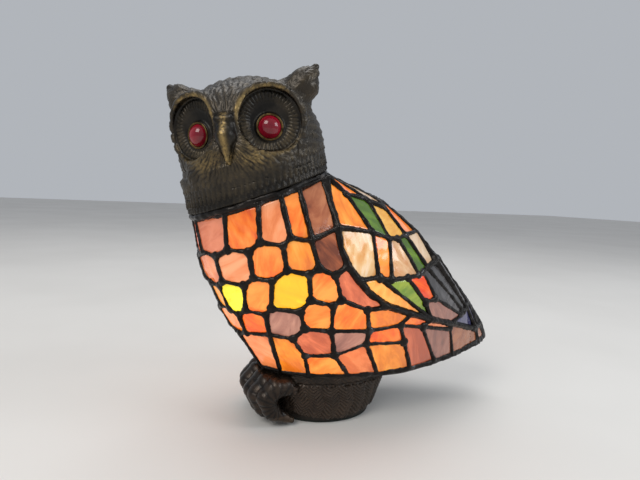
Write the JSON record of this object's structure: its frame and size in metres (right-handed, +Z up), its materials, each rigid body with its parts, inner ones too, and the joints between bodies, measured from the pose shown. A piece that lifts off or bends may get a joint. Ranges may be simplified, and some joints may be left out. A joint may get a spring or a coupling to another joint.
{
  "type": "leaded glass owl table lamp",
  "caption": "Owl table lamp: lead-came glass body on a cast stump base, cast horned head with glass eyes, lift-off shade, removable bulb, cord with rocker switch and plug.",
  "frame": {"origin": "centre of the felt pad's underside, on the table", "axes": "+Z up; the owl's body faces -Y and its tail points to +Y; the owl's left is +X"},
  "size_m": [0.207, 0.2649, 0.2466],
  "materials": {
    "bronze_cast": "dark patinated cast bronze finish",
    "bronze_base": "brown-black cast bronze finish",
    "brass_trim": "aged brass",
    "came_dark": "blackened lead and solder",
    "steel": "satin",
    "sheet_dark": "dark patina sheet",
    "felt": "dark green felt",
    "black_plastic": "moulded",
    "cord_plastic": "flexible sheath",
    "bakelite": "moulded",
    "contact_brass": "bright",
    "bulb_glass": "frosted warm white",
    "bulb_wire": "glowing filament and supports",
    "ceramic_white": "glazed insulator",
    "ruby": "red glass cabochon",
    "art_glass_brown": "opalescent art glass",
    "art_glass_honey": "opalescent art glass",
    "art_glass_mauve": "opalescent art glass",
    "art_glass_orange": "opalescent art glass",
    "art_glass_peach": "opalescent art glass",
    "art_glass_salmon": "opalescent art glass",
    "art_glass_yellow": "opalescent art glass",
    "art_glass_blue": "opalescent art glass",
    "art_glass_smoke": "opalescent art glass",
    "art_glass_cream": "opalescent art glass",
    "art_glass_green": "opalescent art glass",
    "art_glass_opal": "opalescent art glass",
    "art_glass_red": "opalescent art glass"
  },
  "bodies": {
    "stand": {"base_casting": "bronze_base", "cord_grommet": "black_plastic", "cord_lamp": "cord_plastic", "cord_plug": "cord_plastic", "cover_plate": "steel", "cover_screws": "steel", "felt_pad": "felt", "plug_body": "black_plastic", "plug_pins": "contact_brass", "rocker_pin": "steel", "socket_contact": "contact_brass", "socket_core": "ceramic_white", "socket_shell": "bakelite", "socket_sleeve": "contact_brass", "switch_contacts": "contact_brass", "switch_lower": "black_plastic", "switch_screws": "steel", "switch_upper": "black_plastic", "threaded_tube": "steel", "tube_nuts": "contact_brass"},
    "shade": {"came": "came_dark", "eye_left": "ruby", "eye_right": "ruby", "eye_ring_left": "brass_trim", "eye_ring_right": "brass_trim", "glass_breast_brown": "art_glass_brown", "glass_breast_honey": "art_glass_honey", "glass_breast_mauve": "art_glass_mauve", "glass_breast_orange": "art_glass_orange", "glass_breast_peach": "art_glass_peach", "glass_breast_salmon": "art_glass_salmon", "glass_breast_yellow": "art_glass_yellow", "glass_tail_blue": "art_glass_blue", "glass_tail_mauve": "art_glass_mauve", "glass_tail_smoke": "art_glass_smoke", "glass_wing_left_cream": "art_glass_cream", "glass_wing_left_green": "art_glass_green", "glass_wing_left_honey": "art_glass_honey", "glass_wing_left_opal": "art_glass_opal", "glass_wing_left_orange": "art_glass_orange", "glass_wing_left_red": "art_glass_red", "glass_wing_left_yellow": "art_glass_yellow", "glass_wing_right_cream": "art_glass_cream", "glass_wing_right_green": "art_glass_green", "glass_wing_right_honey": "art_glass_honey", "glass_wing_right_opal": "art_glass_opal", "glass_wing_right_orange": "art_glass_orange", "glass_wing_right_red": "art_glass_red", "glass_wing_right_yellow": "art_glass_yellow", "head_casting": "bronze_cast", "neck_ring": "sheet_dark", "underside_plate": "sheet_dark"},
    "bulb": {"bulb_cap": "steel", "bulb_filament": "bulb_wire", "bulb_glass": "bulb_glass", "bulb_insulator": "ceramic_white", "bulb_stem": "bulb_glass", "bulb_tip": "contact_brass"},
    "rocker": {"rocker": "black_plastic"}
  },
  "joints": [
    {"name": "shade_lift", "type": "slide", "parent": "stand", "child": "shade", "axis": [0, 0, 1], "range_m": [0, 0.1]},
    {"name": "bulb_out", "type": "slide", "parent": "stand", "child": "bulb", "axis": [0, 0, 1], "range_m": [0, 0.02]},
    {"name": "rocker_tilt", "type": "hinge", "parent": "stand", "child": "rocker", "pos_m": [-0.082, 0.035, 0.0118], "axis": [1, 0, 0], "range_deg": [-24, 0]}
  ]
}
